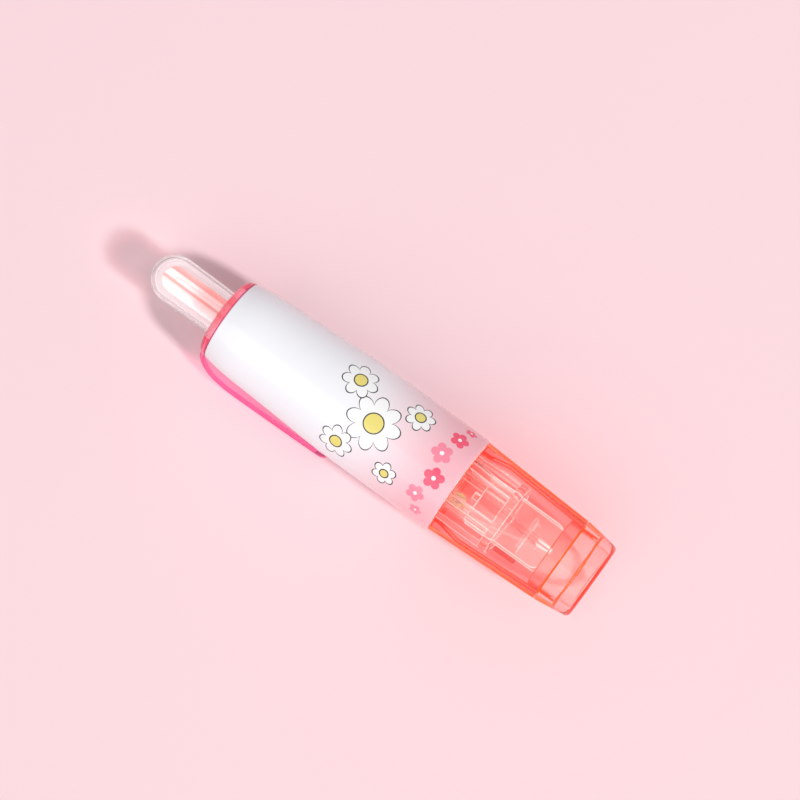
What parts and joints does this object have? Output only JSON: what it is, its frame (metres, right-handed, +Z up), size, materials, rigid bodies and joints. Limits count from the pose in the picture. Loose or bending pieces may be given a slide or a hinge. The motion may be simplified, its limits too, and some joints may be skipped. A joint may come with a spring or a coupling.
{
  "type": "correction tape pen",
  "caption": "Pen-shaped correction tape with a press button, a pocket clip and a see-through nose; the tape head slides out of the mouth when pressed.",
  "frame": {"origin": "on the surface that the pen lies on, under the middle of its bounding box", "axes": "+X along the pen from the push button to the mouth, +Y away from the clip's side, +Z up"},
  "size_m": [0.125, 0.0256, 0.0248],
  "materials": {
    "white_plastic": "moulded white plastic, satin",
    "printed_sleeve": "glossy printed film, white fading to pink towards the nose",
    "magenta_plastic": "see-through magenta plastic, polished",
    "coral_plastic": "see-through fluorescent coral plastic, polished, edges glow orange",
    "coral_rod": "translucent coral plastic",
    "clear_plastic": "water-clear plastic, polished",
    "steel": "drawn steel wire and pins",
    "tape_film": "white correction film on its carrier",
    "release_film": "used carrier film, bare",
    "olive_plastic": "olive plastic, satin"
  },
  "bodies": {
    "shell": {"barrel_tube": "white_plastic", "label_sleeve": "printed_sleeve", "rear_cap": "magenta_plastic", "front_guide": "clear_plastic", "spring_rod": "steel", "return_spring": "steel", "latch_pin": "steel"},
    "clip": {"pocket_clip": "magenta_plastic"},
    "nose": {"nose_shell": "coral_plastic", "nose_tip": "coral_plastic"},
    "cassette": {"push_button": "clear_plastic", "plunger_rod": "coral_rod", "cassette_base": "clear_plastic", "cassette_cover": "clear_plastic", "applicator_head": "clear_plastic", "tape_run": "tape_film", "roller_pin": "steel"},
    "supply": {"supply_reel": "white_plastic", "supply_tape": "tape_film"},
    "take_up": {"take_up_gear": "white_plastic", "clutch_spring": "steel", "take_up_reel": "coral_rod", "used_tape": "release_film"},
    "roller": {"guide_roller": "olive_plastic"},
    "latch": {"latch_arm": "white_plastic"}
  },
  "joints": [
    {"name": "press_slide", "type": "slide", "parent": "shell", "child": "cassette", "axis": [1, 0, 0], "range_m": [0, 0.016], "stiffness_N_per_m": 60, "springref_m": -0.006, "deforming": ["return_spring"]},
    {"name": "nose_pull", "type": "slide", "parent": "shell", "child": "nose", "axis": [1, 0, 0], "range_m": [0, 0.034]},
    {"name": "clip_flex", "type": "hinge", "parent": "shell", "child": "clip", "pos_m": [-0.0414, -0.00671, 0.00597], "axis": [0, 0.6688, -0.7434], "range_deg": [0, 3], "stiffness_Nm_per_rad": 0.3},
    {"name": "supply_spin", "type": "hinge", "parent": "cassette", "child": "supply", "pos_m": [-0.0205, 0.00042, 0.01239], "axis": [0, 0, 1], "continuous": true},
    {"name": "take_up_spin", "type": "hinge", "parent": "cassette", "child": "take_up", "pos_m": [-0.0055, 0.00042, 0.01239], "axis": [0, 0, 1], "continuous": true},
    {"name": "roller_spin", "type": "hinge", "parent": "cassette", "child": "roller", "pos_m": [0.0266, -0.00258, 0.01239], "axis": [0, 0, 1], "continuous": true},
    {"name": "latch_swing", "type": "hinge", "parent": "shell", "child": "latch", "pos_m": [0.0095, 0.00042, 0.018], "axis": [0, 0, -1], "range_deg": [0, 9.5]}
  ],
  "couplings": [
    {"joint": "take_up_spin", "follows": "supply_spin", "ratio": -1.0833},
    {"joint": "roller_spin", "follows": "supply_spin", "ratio": 4.2353},
    {"joint": "latch_swing", "follows": "press_slide", "rad_per_m": 9.8175}
  ]
}
